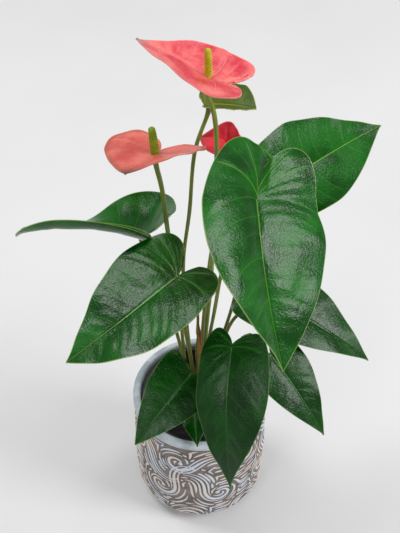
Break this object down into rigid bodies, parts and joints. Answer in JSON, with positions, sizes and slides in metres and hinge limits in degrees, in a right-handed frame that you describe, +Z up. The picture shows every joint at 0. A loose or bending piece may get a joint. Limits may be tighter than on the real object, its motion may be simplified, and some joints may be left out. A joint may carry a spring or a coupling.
{
  "type": "potted anthurium",
  "caption": "Flowering anthurium with glossy heart-shaped leaves and coral spathes, in a nursery pot standing in a scroll-relief cover pot.",
  "frame": {"origin": "centre of the cover pot's flat underside", "axes": "+Z up along the pot's axis, -Y towards the plant's front, +X to the right seen from the front"},
  "size_m": [0.3269, 0.2344, 0.511],
  "materials": {
    "pot_relief": "matt taupe ground with a whitewashed raised scroll pattern and a smooth pale blue-grey rim",
    "grow_pot": "thin black moulded plastic",
    "potting_mix": "moist dark peat and bark mix",
    "crown": "short woody green-brown stem base",
    "sheath": "papery scale leaf, olive on one side and orange-brown on the other",
    "leaf": "glossy dark green leaf with paler veins and edge",
    "petiole": "smooth satin green leaf stalk",
    "flower_stem": "smooth satin green flower stalk",
    "coral_spathe": "waxy coral pink spathe",
    "salmon_spathe": "waxy salmon spathe with an olive tinge",
    "red_spathe": "waxy deep red young spathe",
    "yellow_spadix": "matt yellow-green spadix set with tiny florets",
    "green_spadix": "matt green spadix set with tiny florets"
  },
  "bodies": {
    "root": {"decorative_pot": "pot_relief", "grow_pot": "grow_pot", "potting_mix": "potting_mix", "crown": "crown", "sheath": "sheath", "front_right_blade": "leaf", "front_right_petiole": "petiole", "back_right_blade": "leaf", "back_right_petiole": "petiole", "left_blade": "leaf", "left_petiole": "petiole", "front_left_blade": "leaf", "front_left_petiole": "petiole", "low_left_blade": "leaf", "low_left_petiole": "petiole", "low_front_blade": "leaf", "low_front_petiole": "petiole", "low_right_blade": "leaf", "low_right_petiole": "petiole", "right_blade": "leaf", "right_petiole": "petiole", "top_blade": "leaf", "top_petiole": "petiole", "rim_blade": "leaf", "rim_petiole": "petiole", "top_spathe": "coral_spathe", "top_flower_stem": "flower_stem", "top_spadix": "yellow_spadix", "left_spathe": "salmon_spathe", "left_flower_stem": "flower_stem", "left_spadix": "green_spadix", "young_spathe": "red_spathe", "young_flower_stem": "flower_stem", "young_spadix": "yellow_spadix"}
  },
  "joints": []
}
